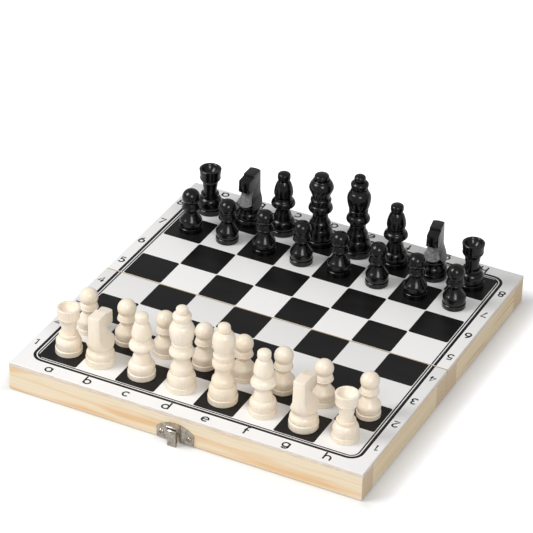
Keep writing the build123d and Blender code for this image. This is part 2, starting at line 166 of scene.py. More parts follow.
@dataclass(frozen=True)
class PlanedPine:
    """Pine rails, planed and sealed with one thin coat: pale, satin, with warm heartwood streaks."""

    name: str
    grain: Grain
    shift: Triple
    sapwood: str = "#F1E1C2"
    latewood: str = "#E8D0A2"
    heartwood: str = "#EDC58C"
    ring_mm: float = 2.6
    ring_tilt: float = 0.35
    ring_most: float = 0.45
    wander_mm: Triple = (90.0, 14.0, 14.0)
    wander_far_mm: float = 9.0
    fibre_mm: Triple = (26.0, 0.45, 0.45)
    fibre_deep_mm: float = 0.03
    streak_mm: Triple = (110.0, 16.0, 7.5)
    streak_from: float = 0.52
    streak_soft: float = 0.18
    streak_most: float = 0.75
    end_grain: str = "#D6BFA2"
    end_at_mm: float = 119.8
    end_soft_mm: float = 0.1

    def build(self) -> bpy.types.Material:
        """Builds rings about a distant pith, a heartwood streak and fine fibres.

        Returns:
            The finished material.
        """
        surface = Surface(self.name, self.grain.value)
        add = surface.add
        placing = {"Vector": surface.space, "Location": self.shift}
        broad = add("ShaderNodeMapping", {**placing, "Scale": per(self.wander_mm)})
        wander = add("ShaderNodeTexNoise", {**NOISE, "Vector": broad, "Detail": 2.0})
        split = add_node(surface.tree, "ShaderNodeSeparateXYZ", (add("ShaderNodeMapping", placing),))
        tilted = add("ShaderNodeMath", (split.outputs["Y"], self.ring_tilt), operation="MULTIPLY")
        depth = add("ShaderNodeMath", (split.outputs["Z"], tilted), operation="ADD")
        bent = add("ShaderNodeMath", (wander, self.wander_far_mm, depth), operation="MULTIPLY_ADD")
        phase = add("ShaderNodeMath", (bent, 2 * pi / self.ring_mm), operation="MULTIPLY")
        ring = add("ShaderNodeMath", (phase,), operation="SINE")
        ring_share = add("ShaderNodeMapRange", (ring, -0.2, 1.0, 0.0, self.ring_most))
        fine = add("ShaderNodeMapping", {**placing, "Scale": per(self.fibre_mm)})
        fibre = add("ShaderNodeTexNoise", {**NOISE, "Vector": fine, "Roughness": 0.6})
        long = add("ShaderNodeMapping", {**placing, "Scale": per(self.streak_mm)})
        streak = add("ShaderNodeTexNoise", {**NOISE, "Vector": long, "Detail": 2.0, "Roughness": 0.45})
        reach = (self.streak_from, self.streak_from + self.streak_soft)
        streak_share = add("ShaderNodeMapRange", (streak, *reach, 0.0, self.streak_most))
        latewood = hex_colour(self.latewood)
        rings = {0: ring_share, 6: hex_colour(self.sapwood), 7: latewood}
        base = add("ShaderNodeMix", rings, 2, data_type="RGBA")
        streaks = {0: streak_share, 6: base, 7: hex_colour(self.heartwood)}
        warm = add("ShaderNodeMix", streaks, 2, data_type="RGBA")
        fleck = add("ShaderNodeMapRange", (fibre, 0.3, 0.75, 1.0, 0.93))
        tone = add(
            "ShaderNodeMix", {0: 1.0, 6: warm, 7: fleck}, 2, data_type="RGBA", blend_type="MULTIPLY"
        )
        if self.grain is Grain.ALONG_X:
            along = add("ShaderNodeSeparateXYZ", (surface.space,), "X")
            end = add("ShaderNodeMath", (along,), operation="ABSOLUTE")
            reach = (self.end_at_mm - self.end_soft_mm, self.end_at_mm + self.end_soft_mm)
            end_share = add("ShaderNodeMapRange", (end, *reach, 0.0, 1.0))
            ends = {0: ring_share, 6: hex_colour(self.end_grain), 7: latewood}
            sawn = add("ShaderNodeMix", ends, 2, data_type="RGBA")
            tone = add("ShaderNodeMix", {0: end_share, 6: tone, 7: sawn}, 2, data_type="RGBA")
        bump = {"Height": fibre, "Distance": self.fibre_deep_mm * MM, "Strength": 0.6}
        return surface.shaded({
            "Base Color": tone,
            "Roughness": add("ShaderNodeMapRange", (fibre, 0.3, 0.7, 0.48, 0.62)),
            "Specular IOR Level": 0.35,
            "Normal": add("ShaderNodeBump", bump),
        })


@dataclass(frozen=True)
class LacqueredPanel:
    """Thin plywood under sprayed white lacquer: bright on top, with overspray on its edges."""

    top_z_mm: float
    low_z_mm: float
    name: str = "white_lacquered_plywood"
    white: str = "#F1F0EF"
    edge: str = "#EADFD0"
    edge_dark: str = "#CDBEB2"
    bare: str = "#E4CFA6"
    seam_tan: str = "#B49A78"
    skin_mm: float = 0.28
    seam_wear_mm: float = 0.35
    speck_mm: Triple = (5.0, 5.0, 0.7)
    fade_mm: Triple = (18.0, 18.0, 2.0)
    fade_far_mm: float = 0.5
    fade_drop_mm: float = 0.35
    fibre_mm: Triple = (24.0, 0.7, 0.7)
    peel_mm: Triple = (2.2, 2.2, 2.2)
    peel_deep_mm: float = 0.02

    def build(self) -> bpy.types.Material:
        """Builds the white skin, the speckled ply edge, the worn seam and the bare underside.

        Returns:
            The finished material.
        """
        surface = Surface(self.name)
        add, space = surface.add, surface.space
        split = add_node(surface.tree, "ShaderNodeSeparateXYZ", (space,))
        height = split.outputs["Z"]
        spots = add("ShaderNodeMapping", {"Vector": space, "Scale": per(self.speck_mm)})
        speck = add("ShaderNodeTexNoise", {**NOISE, "Vector": spots, "Detail": 4.0, "Roughness": 0.7})
        speck_share = add("ShaderNodeMapRange", (speck, 0.38, 0.66, 0.0, 1.0))
        plies = {0: speck_share, 6: hex_colour(self.edge), 7: hex_colour(self.edge_dark)}
        edge = add("ShaderNodeMix", plies, 2, data_type="RGBA")
        clouds = add("ShaderNodeMapping", {"Vector": space, "Scale": per(self.fade_mm)})
        fade = add("ShaderNodeTexNoise", {**NOISE, "Vector": clouds})
        lip_z = self.top_z_mm - self.skin_mm - self.fade_drop_mm
        lip = add("ShaderNodeMath", (fade, self.fade_far_mm, lip_z), operation="MULTIPLY_ADD")
        over_lip = add("ShaderNodeMath", (height, lip), operation="SUBTRACT")
        skin = add("ShaderNodeMapRange", (over_lip, -0.12, 0.12, 0.0, 1.0))
        coat = {0: skin, 6: edge, 7: hex_colour(self.white)}
        lacquered = add("ShaderNodeMix", coat, 2, data_type="RGBA")
        from_seam = add("ShaderNodeMath", (split.outputs["Y"],), operation="ABSOLUTE")
        wear = (self.seam_wear_mm, self.seam_wear_mm + 0.15)
        worn = add("ShaderNodeMapRange", (from_seam, *wear, 1.0, 0.0))
        seam = {0: worn, 6: lacquered, 7: hex_colour(self.seam_tan)}
        outer = add("ShaderNodeMix", seam, 2, data_type="RGBA")
        lines = add("ShaderNodeMapping", {"Vector": space, "Scale": per(self.fibre_mm)})
        fibre = add("ShaderNodeTexNoise", {**NOISE, "Vector": lines})
        shade = add("ShaderNodeMapRange", (fibre, 0.3, 0.7, 1.0, 0.86))
        wood = {0: 1.0, 6: hex_colour(self.bare), 7: shade}
        bare = add("ShaderNodeMix", wood, 2, data_type="RGBA", blend_type="MULTIPLY")
        base_z = (self.low_z_mm + 0.02, self.low_z_mm + 0.05)
        under = add("ShaderNodeMapRange", (height, *base_z, 1.0, 0.0))
        dimples = add("ShaderNodeMapping", {"Vector": space, "Scale": per(self.peel_mm)})
        peel = add("ShaderNodeTexNoise", {**NOISE, "Vector": dimples, "Detail": 2.0})
        bump = {"Height": peel, "Distance": self.peel_deep_mm * MM, "Strength": 0.35}
        return surface.shaded({
            "Base Color": add("ShaderNodeMix", {0: under, 6: outer, 7: bare}, 2, data_type="RGBA"),
            "Roughness": add("ShaderNodeMapRange", (skin, 0.0, 1.0, 0.6, 0.34)),
            "Coat Weight": 0.15,
            "Coat Roughness": 0.25,
            "Normal": add("ShaderNodeBump", bump),
        })


@dataclass(frozen=True)
class ScreenPrint:
    """Black screen-printing ink: dense, slightly warm, a little glossier than the lacquer."""

    name: str = "black_screen_print_ink"
    ink: str = "#121111"
    thin: str = "#1C1A1A"
    patch_mm: Triple = (30.0, 9.0, 9.0)
    mesh_mm: Triple = (0.8, 0.8, 0.8)
    mesh_deep_mm: float = 0.01

    def build(self) -> bpy.types.Material:
        """Builds faint unevenness, where the squeegee laid less ink.

        Returns:
            The finished material.
        """
        surface = Surface(self.name)
        add = surface.add
        pulls = add("ShaderNodeMapping", {"Vector": surface.space, "Scale": per(self.patch_mm)})
        patch = add("ShaderNodeTexNoise", {**NOISE, "Vector": pulls})
        share = add("ShaderNodeMapRange", (patch, 0.35, 0.7, 0.0, 1.0))
        tones = {0: share, 6: hex_colour(self.ink), 7: hex_colour(self.thin)}
        threads = add("ShaderNodeMapping", {"Vector": surface.space, "Scale": per(self.mesh_mm)})
        mesh = add("ShaderNodeTexNoise", {**NOISE, "Vector": threads, "Detail": 2.0})
        bump = {"Height": mesh, "Distance": self.mesh_deep_mm * MM, "Strength": 0.3}
        return surface.shaded({
            "Base Color": add("ShaderNodeMix", tones, 2, data_type="RGBA"),
            "Roughness": add("ShaderNodeMapRange", (patch, 0.3, 0.7, 0.30, 0.40)),
            "Specular IOR Level": 0.22,
            "Normal": add("ShaderNodeBump", bump),
        })


@dataclass(frozen=True)
class VarnishedBeech:
    """Turned pale hardwood dipped in clear satin varnish: creamy, with faint upright grain."""

    name: str = "varnished_pale_hardwood"
    pale: str = "#FCF1E1"
    warm: str = "#F5E4CA"
    tone_mm: Triple = (34.0, 34.0, 50.0)
    grain_mm: Triple = (1.6, 1.6, 22.0)
    fibre_mm: Triple = (0.5, 0.5, 9.0)
    fibre_deep_mm: float = 0.03

    def build(self) -> bpy.types.Material:
        """Builds a broad tone, grain lines, short pores and a thin clear coat.

        Returns:
            The finished material.
        """
        surface = Surface(self.name)
        add, space = surface.add, surface.space
        broad = add("ShaderNodeMapping", {"Vector": space, "Scale": per(self.tone_mm)})
        tone = add("ShaderNodeTexNoise", {**NOISE, "Vector": broad, "Detail": 1.0})
        lines = add("ShaderNodeMapping", {"Vector": space, "Scale": per(self.grain_mm)})
        grain = add("ShaderNodeTexNoise", {**NOISE, "Vector": lines, "Roughness": 0.6})
        fine = add("ShaderNodeMapping", {"Vector": space, "Scale": per(self.fibre_mm)})
        fibre = add("ShaderNodeTexNoise", {**NOISE, "Vector": fine, "Detail": 2.0})
        ground = add("ShaderNodeMapRange", (tone, 0.3, 0.7, -0.25, 0.45))
        share = add("ShaderNodeMath", (grain, 0.6, ground), operation="MULTIPLY_ADD")
        tones = {0: share, 6: hex_colour(self.pale), 7: hex_colour(self.warm)}
        base = add("ShaderNodeMix", tones, 2, data_type="RGBA")
        pores = {0: 1.0, 6: base, 7: add("ShaderNodeMapRange", (fibre, 0.45, 0.8, 1.0, 0.9))}
        bump = {"Height": fibre, "Distance": self.fibre_deep_mm * MM, "Strength": 0.35}
        return surface.shaded({
            "Base Color": add("ShaderNodeMix", pores, 2, data_type="RGBA", blend_type="MULTIPLY"),
            "Roughness": add("ShaderNodeMapRange", (grain, 0.3, 0.7, 0.34, 0.44)),
            "Specular IOR Level": 0.5,
            "Coat Weight": 0.35,
            "Coat Roughness": 0.18,
            "Subsurface Weight": 0.12,
            "Subsurface Scale": 0.002,
            "Normal": add("ShaderNodeBump", bump),
        })


@dataclass(frozen=True)
class BlackLacquer:
    """Turned hardwood dipped in black gloss lacquer: shiny, with the grain just showing through."""

    name: str = "black_gloss_lacquer"
    black: str = "#050505"
    worn: str = "#0B0A0A"
    grain_mm: Triple = (1.4, 1.4, 16.0)
    grain_deep_mm: float = 0.06

    def build(self) -> bpy.types.Material:
        """Builds a near-black base, slow waves in the lacquer and a thin coat.

        Returns:
            The finished material.
        """
        surface = Surface(self.name)
        add = surface.add
        lines = add("ShaderNodeMapping", {"Vector": surface.space, "Scale": per(self.grain_mm)})
        grain = add("ShaderNodeTexNoise", {**NOISE, "Vector": lines, "Roughness": 0.6})
        share = add("ShaderNodeMapRange", (grain, 0.4, 0.75, 0.0, 1.0))
        tones = {0: share, 6: hex_colour(self.black), 7: hex_colour(self.worn)}
        bump = {"Height": grain, "Distance": self.grain_deep_mm * MM, "Strength": 0.4}
        return surface.shaded({
            "Base Color": add("ShaderNodeMix", tones, 2, data_type="RGBA"),
            "Roughness": add("ShaderNodeMapRange", (grain, 0.3, 0.75, 0.18, 0.30)),
            "Specular IOR Level": 0.28,
            "Coat Weight": 0.3,
            "Coat Roughness": 0.1,
            "Normal": add("ShaderNodeBump", bump),
        })


@dataclass(frozen=True)
class EndGrainWithPaintedSkyLight:
    """Black-lacquered end grain on a sawn chest: matt and rough, and grey by painted light, since the
    grey stands in for the bright room that the upward-facing facet reflects.
    """

    name: str = "black_end_grain_painted_sky_light"
    # painted light: these greys stand in for the bright room reflected by the upward-facing chest
    # facet
    dark: str = "#3A3A3B"
    middle: str = "#6B6B6C"
    light: str = "#8B8B8C"
    blotch_mm: Triple = (1.3, 1.3, 0.9)
    blotch_deep_mm: float = 0.12

    def build(self) -> bpy.types.Material:
        """Builds grey patches of painted light over dark pores.

        Returns:
            The finished material.
        """
        surface = Surface(self.name)
        add = surface.add
        spots = add("ShaderNodeMapping", {"Vector": surface.space, "Scale": per(self.blotch_mm)})
        blotch = add("ShaderNodeTexNoise", {**NOISE, "Vector": spots, "Detail": 4.0, "Roughness": 0.7})
        low = add("ShaderNodeMapRange", (blotch, 0.34, 0.5, 0.0, 1.0))
        high = add("ShaderNodeMapRange", (blotch, 0.5, 0.68, 0.0, 1.0))
        pores = {0: low, 6: hex_colour(self.dark), 7: hex_colour(self.middle)}
        base = add("ShaderNodeMix", pores, 2, data_type="RGBA")
        tones = {0: high, 6: base, 7: hex_colour(self.light)}
        bump = {"Height": blotch, "Distance": self.blotch_deep_mm * MM, "Strength": 0.8}
        return surface.shaded({
            "Base Color": add("ShaderNodeMix", tones, 2, data_type="RGBA"),
            "Roughness": 0.62,
            "Normal": add("ShaderNodeBump", bump),
        })


@dataclass(frozen=True)
class NickelPlate:
    """Pressed steel with dull nickel plating: grey with a warm cast and tumbling marks."""

    name: str = "dull_nickel_plated_steel"
    bright: str = "#CFC8BD"
    dull: str = "#9A9187"
    cloud_mm: Triple = (2.4, 2.4, 2.4)
    dent_mm: float = 0.02

    def build(self) -> bpy.types.Material:
        """Builds a cloudy tone, uneven gloss and small tumbling dents.

        Returns:
            The finished material.
        """
        surface = Surface(self.name)
        add = surface.add
        puffs = add("ShaderNodeMapping", {"Vector": surface.space, "Scale": per(self.cloud_mm)})
        cloud = add("ShaderNodeTexNoise", {**NOISE, "Vector": puffs, "Detail": 4.0, "Roughness": 0.6})
        share = add("ShaderNodeMapRange", (cloud, 0.35, 0.65, 0.0, 1.0))
        tones = {0: share, 6: hex_colour(self.bright), 7: hex_colour(self.dull)}
        bump = {"Height": cloud, "Distance": self.dent_mm * MM, "Strength": 0.5}
        return surface.shaded({
            "Base Color": add("ShaderNodeMix", tones, 2, data_type="RGBA"),
            "Metallic": 1.0,
            "Roughness": add("ShaderNodeMapRange", (cloud, 0.3, 0.7, 0.24, 0.38)),
            "Normal": add("ShaderNodeBump", bump),
        })


class MeshPiece:
    """A bmesh under construction, whose finished object sits at the origin."""

    def __init__(self, name: str) -> None:
        """Starts an empty mesh with the piece's name."""
        self.name = name
        self.bm = bmesh.new()

    def slab(self, low: Sequence[float], high: Sequence[float]) -> None:
        """Adds a block between two corners.

        Args:
            low: The lowest corner, in metres.
            high: The highest corner, in metres.
        """
        made = bmesh.ops.create_cube(self.bm, size=1.0)["verts"]
        size = Vector(high) - Vector(low)
        bmesh.ops.scale(self.bm, vec=size, verts=made)
        bmesh.ops.translate(self.bm, vec=(Vector(high) + Vector(low)) / 2, verts=made)

    def round_edges(self, edges: Iterable[bmesh.types.BMEdge], width: float) -> None:
        """Rounds edges.

        Args:
            edges: The edges to round.
            width: The rounding's width, in metres.
        """
        bmesh.ops.bevel(
            self.bm,
            geom=list(edges),
            offset=width,
            offset_type="OFFSET",
            affect="EDGES",
            segments=3,
            profile=0.5,
            material=-1,
            clamp_overlap=True,
        )

    def finish(
        self,
        materials: Sequence[bpy.types.Material],
        body: str,
        slot: str,
        replaces: Sequence[str] = (),
        sharp_deg: float = 34.0,
    ) -> bpy.types.Object:
        """Makes the object, dresses it and hangs it on its body.

        Args:
            materials: The finishes, in the order of the faces' material numbers.
            body: The CAD body that the piece rides on.
            slot: The record's material slot.
            replaces: CAD nodes that the piece stands for.
            sharp_deg: Edges that turn by more than this stay sharp.

        Returns:
            The finished object.
        """
        bmesh.ops.recalc_face_normals(self.bm, faces=self.bm.faces)
        mesh = bpy.data.meshes.new(self.name)
        self.bm.to_mesh(mesh)
        self.bm.free()
        return dress(mesh, self.name, materials, body, slot, replaces, sharp_deg)


def dress(
    mesh: bpy.types.Mesh,
    name: str,
    materials: Sequence[bpy.types.Material],
    body: str,
    slot: str,
    replaces: Sequence[str] = (),
    sharp_deg: float = 34.0,
) -> bpy.types.Object:
    """Makes a finished mesh an object of the scene.

    Args:
        mesh: The finished mesh.
        name: The piece's name.
        materials: The finishes, in the order of the faces' material numbers.
        body: The CAD body that the piece rides on.
        slot: The record's material slot; not used.
        replaces: CAD nodes that the piece stands for.
        sharp_deg: Edges that turn by more than this stay sharp.

    Returns:
        The finished object.
    """
    for polygon in mesh.polygons:
        polygon.use_smooth = True
    mesh.set_sharp_from_angle(angle=radians(sharp_deg))
    piece = bpy.data.objects.new(name, mesh)
    bpy.context.scene.collection.objects.link(piece)
    for material in materials:
        mesh.materials.append(material)
    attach(piece, body)
    for node in replaces:
        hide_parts(node)
    LOG.info("%s: %d faces on %s", name, len(mesh.polygons), body)
    return piece


@dataclass(frozen=True)
class Field:
    """The playing field's sizes, in millimetres."""

    square: float = 27.0
    files: int = 8
    corner: float = 1.4
    line_gap: float = 0.55
    inner_line: float = 0.9
    between_lines: float = 0.75
    outer_line: float = 1.9
    inner_radius: float = 5.0
    ink_thick: float = 0.03
    seam_bare: float = 0.45
    letter_out: float = 9.3
    number_out: float = 8.0

    @property
    def half(self) -> float:
        """Half the width of the eight squares."""
        return self.square * self.files / 2

    @property
    def middle(self) -> float:
        """The middle of the field, counted in squares from the first file or rank."""
        return (self.files - 1) / 2


class Half(Enum):
    """The two halves: the label of each, its side along Y and its body."""

    FRONT = ("front", -1, "front_case")
    BACK = ("back", 1, "back_case")


@dataclass
class CaseHalf:
    """One half of the folding case: the lacquered panel, its print and the rails."""

    half: Half
    field_sizes: Field
    panel_finish: bpy.types.Material
    print_finish: bpy.types.Material
    pine_long: bpy.types.Material
    pine_inner: bpy.types.Material
    pine_left: bpy.types.Material
    pine_right: bpy.types.Material
    edge_ease_mm: float = 0.5

    def __post_init__(self) -> None:
        """Reads the panel's corners from the frame."""
        self.label, self.side, self.body = self.half.value
        self.low, self.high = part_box(f"{self.label}_panel")
        seam = self.high.y if self.side < 0 else self.low.y
        self.seam_y = seam + self.side * self.field_sizes.seam_bare * MM

    def build(self) -> None:
        """Builds and dresses every piece of the half."""
        self.panel()
        self.print()
        self.rails()

    def panel(self) -> None:
        """Models the panel with softly rounded upper edges."""
        piece = MeshPiece(f"{self.label}_panel_lacquered")
        piece.slab(self.low, self.high)
        upper = [
            edge for edge in piece.bm.edges
            if all(vert.co.z > self.high.z - MM / 10 for vert in edge.verts)
        ]
        piece.round_edges(upper, self.edge_ease_mm * MM)
        piece.finish([self.panel_finish], self.body, "printed_panel", [f"{self.label}_panel"])

    def rails(self) -> None:
        """Dresses the five rails' CAD nodes, each with grain along its length."""
        finishes = {
            "rail": self.pine_long,
            "mid_rail": self.pine_inner,
            "left_rail": self.pine_left,
            "right_rail": self.pine_right,
        }
        for part, finish in finishes.items():
            dress_node(f"{self.label}_{part}", finish)

    def print(self) -> None:
        """Prints the dark squares, both border lines and the coordinates of this half."""
        piece = MeshPiece(f"{self.label}_panel_print")
        self.squares(piece)
        self.border(piece)
        self.coordinates(piece)
        piece.finish([self.print_finish], self.body, "printed_panel", sharp_deg=30)

    def lay(self, piece: MeshPiece, faces: list[bmesh.types.BMFace]) -> None:
        """Gives flat faces the ink's thickness and lays them on the panel.

        Args:
            piece: The print.
            faces: Flat faces at height zero.
        """
        made = bmesh.ops.extrude_face_region(piece.bm, geom=faces)
        lifted = [item for item in made["geom"] if isinstance(item, Vert)]
        bmesh.ops.translate(piece.bm, vec=(0, 0, self.field_sizes.ink_thick * MM), verts=lifted)
        both = {vert for face in faces for vert in face.verts} | set(lifted)
        bmesh.ops.translate(piece.bm, vec=(0, 0, self.high.z), verts=list(both))

    def ranks(self) -> range:
        """Gives the ranks that lie on this half."""
        count = self.field_sizes.files // 2
        return range(count) if self.side < 0 else range(count, 2 * count)

    def squares(self, piece: MeshPiece) -> None:
        """Adds this half's dark squares, whose corners are rounded.

        Args:
            piece: The print.
        """
        sizes = self.field_sizes
        for rank in self.ranks():
            for file in range(sizes.files):
                if (file + rank) % 2:
                    continue
                place = Vector((file - sizes.middle, rank - sizes.middle, 0))
                corners = bmesh.ops.create_grid(
                    piece.bm, x_segments=1, y_segments=1, size=sizes.square * MM / 2
                )["verts"]
                bmesh.ops.translate(piece.bm, vec=place * sizes.square * MM, verts=corners)
                self.clear_seam(corners)
                face = corners[0].link_faces[0]
                rounded = self.round_corners(piece, corners, sizes.corner)
                self.lay(piece, rounded or [face])

    def clear_seam(self, corners: Iterable[Vert]) -> None:
        """Keeps the print on its own panel by drawing back what would cross the seam.

        Args:
            corners: The corners of a flat face of the print.
        """
        for vert in corners:
            if self.side * (vert.co.y - self.seam_y) < 0:
                vert.co.y = self.seam_y

    def round_corners(
        self, piece: MeshPiece, corners: list[Vert], radius: float
    ) -> list[bmesh.types.BMFace]:
        """Rounds the corners of a flat face.

        Args:
            piece: The print.
            corners: The face's corners.
            radius: The corners' radius in millimetres.

        Returns:
            The rounded face, in a list.
        """
        result = bmesh.ops.bevel(
            piece.bm,
            geom=corners,
            offset=radius * MM,
            offset_type="OFFSET",
            affect="VERTICES",
            segments=6,
            profile=0.5,
            material=-1,
            clamp_overlap=True,
        )
        faces = {face for vert in result["verts"] for face in vert.link_faces}
        return list(faces)

    def border(self, piece: MeshPiece) -> None:
        """Adds the inner and the outer border line, cut at the seam.

        Args:
            piece: The print.
        """
        sizes = self.field_sizes
        inner_edge = sizes.half + sizes.line_gap + sizes.inner_line
        outer_edge = inner_edge + sizes.between_lines + sizes.outer_line
        radius = sizes.inner_radius + sizes.inner_line
        self.ring(piece, inner_edge, sizes.inner_line, radius)
        self.ring(piece, outer_edge, sizes.outer_line, radius + outer_edge - inner_edge)

    def ring(self, piece: MeshPiece, reach: float, width: float, radius: float) -> None:
        """Adds this half of a rounded square ring.

        Args:
            piece: The print.
            reach: From the middle to the line's outer edge, in millimetres.
            width: The line's width in millimetres.
            radius: The outer corners' radius in millimetres.
        """
        ring = MeshPiece("ring")
        made = bmesh.ops.create_grid(ring.bm, x_segments=1, y_segments=1, size=reach * MM)
        outer = self.round_corners(ring, made["verts"], radius)
        bmesh.ops.inset_region(
            ring.bm, faces=outer, thickness=width * MM, use_boundary=True, use_even_offset=True
        )
        inside = [face for face in ring.bm.faces if len(face.verts) > 4]
        bmesh.ops.delete(ring.bm, geom=inside, context="FACES")
        bmesh.ops.bisect_plane(
            ring.bm,
            geom=ring.bm.verts[:] + ring.bm.edges[:] + ring.bm.faces[:],
            plane_co=(0, self.seam_y, 0),
            plane_no=(0, -self.side, 0),
            clear_outer=True,
        )
        self.lay(ring, ring.bm.faces[:])
        self.join(piece, ring)

    def join(self, piece: MeshPiece, other: MeshPiece) -> None:
        """Adds a finished part's mesh to the print.

        Args:
            piece: The print.
            other: The part, which is used up.
        """
        mesh = bpy.data.meshes.new(other.name)
        other.bm.to_mesh(mesh)
        other.bm.free()
        piece.bm.from_mesh(mesh)
        bpy.data.meshes.remove(mesh)

    def coordinates(self, piece: MeshPiece) -> None:
        """Adds the letters along this half's end and the numbers up both sides.

        Args:
            piece: The print.
        """
        sizes = self.field_sizes
        end = self.side * (sizes.half + sizes.letter_out)
        turn = 0.0 if self.side < 0 else pi
        for file in range(sizes.files):
            across = (file - sizes.middle) * sizes.square
            self.character(piece, "abcdefgh"[file], across, end, turn)
        out = sizes.half + sizes.number_out
        for rank in self.ranks():
            along = (rank - sizes.middle) * sizes.square
            self.character(piece, str(rank + 1), -out, along, 0.0)
            self.character(piece, str(rank + 1), out, along, pi)

    def character(self, piece: MeshPiece, text: str, x: float, y: float, turn: float) -> None:
        """Adds one letter or number, lying flat on the margin.

        Args:
            piece: The print.
            text: The character.
            x: Its middle across the board, in millimetres.
            y: Its middle along the board, in millimetres.
            turn: Its turn about Z, in radians.
        """
        curve = bpy.data.curves.new("coordinate", "CURVE")
        curve.dimensions = "3D"
        curve.bevel_depth = STROKE_MM / 2
        curve.bevel_resolution = 2
        curve.use_fill_caps = True
        for stroke in CHARACTERS[text]:
            spline = curve.splines.new("POLY")
            spline.points.add(len(stroke) - 1)
            for point, (across, up) in zip(spline.points, stroke):
                point.co = (across, up, 0.0, 1.0)
        pen = bpy.data.objects.new("coordinate", curve)
        bpy.context.scene.collection.objects.link(pen)
        mesh = pen.to_mesh().copy()
        bpy.data.objects.remove(pen)
        bpy.data.curves.remove(curve)
        flat = MM * self.field_sizes.ink_thick / STROKE_MM
        mesh.transform(Matrix.Diagonal((MM, MM, flat, 1.0)))
        mesh.transform(Matrix.Rotation(turn, 4, "Z"))
        height = self.high.z + self.field_sizes.ink_thick * MM / 2
        mesh.transform(Matrix.Translation((x * MM, y * MM, height)))
        piece.bm.from_mesh(mesh)
        bpy.data.meshes.remove(mesh)


def bend(across: float, up: float, wide: float, high: float, start: float, end: float) -> tuple:
    """Gives the points of one curved pen stroke.

    Args:
        across: The ellipse's middle, in millimetres.
        up: The ellipse's middle, in millimetres.
        wide: Its half width.
        high: Its half height.
        start: The first angle, in degrees from the right.
        end: The last angle.

    Returns:
        Points every 12 degrees or so.
    """
    steps = max(3, round(abs(end - start) / 12))
    angles = [radians(start + (end - start) * step / steps) for step in range(steps + 1)]
    return tuple((across + wide * cos(angle), up + high * sin(angle)) for angle in angles)


# A geometric sans alphabet drawn with a round pen; sizes in millimetres from the middle
STROKE_MM = 1.15
BOWL = 2.1
TALL = 5.0
BOWL_RING = bend(0, 0, BOWL, BOWL, 0, 360)
CHARACTERS = {
    "a": (BOWL_RING, ((BOWL, BOWL), (BOWL, -BOWL))),
    "b": (BOWL_RING, ((-BOWL, TALL), (-BOWL, -BOWL))),
    "c": (bend(0, 0, BOWL, BOWL, 45, 315),),
    "d": (BOWL_RING, ((BOWL, TALL), (BOWL, -BOWL))),
    "e": (((-BOWL, 0), (BOWL, 0)) + bend(0, 0, BOWL, BOWL, 0, 318),),
    "f": (bend(0.9, TALL - 1.5, 1.5, 1.5, 80, 180) + ((-0.6, -BOWL),), ((-1.7, BOWL), (1.3, BOWL))),
    "g": (BOWL_RING, ((BOWL, BOWL),) + bend(0, -1.9, BOWL, 1.7, 0, -145)),
    "h": (((-BOWL, TALL), (-BOWL, -BOWL)), bend(0, 0, BOWL, BOWL, 180, 0) + ((BOWL, -BOWL),)),
    "1": (((-1.3, 1.7), (0.2, 2.8), (0.2, -2.8)),),
    "2": (bend(0, 1.2, 1.7, 1.6, 165, -25) + ((-1.8, -2.8), (1.9, -2.8)),),
    "3": (bend(0, 1.4, 1.5, 1.4, 150, -90), bend(0, -1.4, 1.8, 1.4, 90, -150)),
    "4": (((0.9, -2.8), (0.9, 2.8), (-1.9, -1.2), (2.0, -1.2)),),
    "5": (((1.6, 2.8), (-1.1, 2.8), (-1.3, 0.3)) + bend(0, -1.0, 1.8, 1.8, 120, -150),),
    "6": (bend(0, -1.1, 1.8, 1.7, 0, 360), bend(1.6, -1.1, 3.4, 3.9, 180, 105)),
    "7": (((-1.8, 2.8), (1.8, 2.8), (-0.6, -2.8)),),
    "8": (bend(0, 1.45, 1.4, 1.35, 0, 360), bend(0, -1.35, 1.8, 1.45, 0, 360)),
}


def dress_node(node: str, finish: bpy.types.Material) -> None:
    """Gives a CAD node's object a finish in place of its plain one.

    Args:
        node: The CAD node.
        finish: The finish.
    """
    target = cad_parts[node]
    target.data.materials.clear()
    target.data.materials.append(finish)


@dataclass(frozen=True)
class Cut:
    """One cut of a turned outline: up by rise to a radius, bowed outwards by swell."""

    rise: float
    radius: float
    swell: float = 0.0


@dataclass(frozen=True)
class Turning:
    """A turned man's pattern: its foot, its cuts and the ball or hollow on top."""

    foot: float
    cuts: tuple[Cut, ...]
    ball: Optional[float] = None
    hollow: Optional[Triple] = None


RIM = 0.3
PAWN = Turning(
    7.6,
    (
        Cut(2.8, 7.6), Cut(RIM, 7.3), Cut(0, 7.0), Cut(2.8, 7.4, 0.15), Cut(2.8, 7.1, 0.25),
        Cut(4.3, 4.3, -0.15), Cut(0.8, 4.0, -0.05), Cut(3.0, 6.0, -0.2), Cut(0.7, 5.8, 0.15),
        Cut(3.4, 4.7, 0.2),
    ),
    ball=5.95,
)
ROOK = Turning(
    8.5,
    (
        Cut(3.1, 8.5), Cut(RIM, 8.2), Cut(0, 7.8), Cut(2.8, 8.0, 0.15), Cut(4.9, 6.1, 0.75),
        Cut(0, 5.8), Cut(2.4, 6.0, 0.2), Cut(0, 4.6), Cut(5.7, 4.6, -0.1), Cut(0, 4.9),
        Cut(5.0, 6.2, -0.35), Cut(0.2, 6.6), Cut(1.3, 6.9, 0.12), Cut(0, 6.7),
        Cut(6.3, 7.35, -0.05), Cut(0.3, 7.05),
    ),
    hollow=(5.6, 2.6, 4.6),
)
